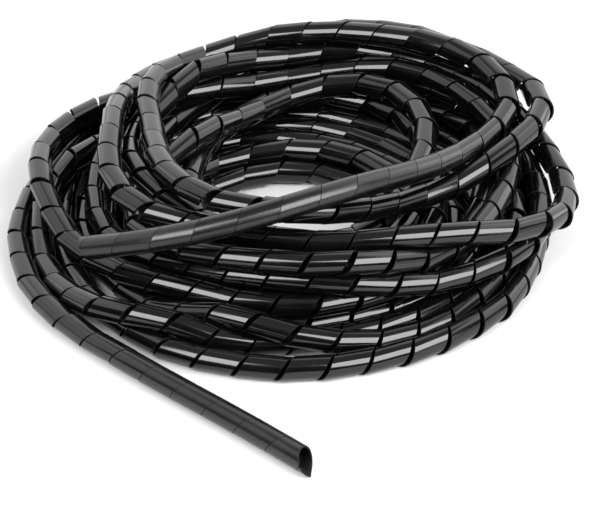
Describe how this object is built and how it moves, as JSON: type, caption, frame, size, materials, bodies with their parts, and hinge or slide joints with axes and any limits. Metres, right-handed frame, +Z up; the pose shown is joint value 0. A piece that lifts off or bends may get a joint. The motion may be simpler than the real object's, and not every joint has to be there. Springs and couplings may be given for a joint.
{
  "type": "spiral cable wrap",
  "caption": "Black polyethylene spiral cable wrap, a helically cut tube laid in a loose hank of many turns with both ends free.",
  "frame": {"origin": "middle of the box around the whole hank, on the floor that it lies on", "axes": "+Z up from the floor; -Y towards the long free end that lies out in front of the hank; +X to the right as seen from there"},
  "size_m": [0.2842, 0.3604, 0.0693],
  "materials": {
    "wrap": "semi-gloss black polyethylene, as extruded"
  },
  "bodies": {
    "root": {"spiral_wrap": "wrap"}
  },
  "joints": []
}
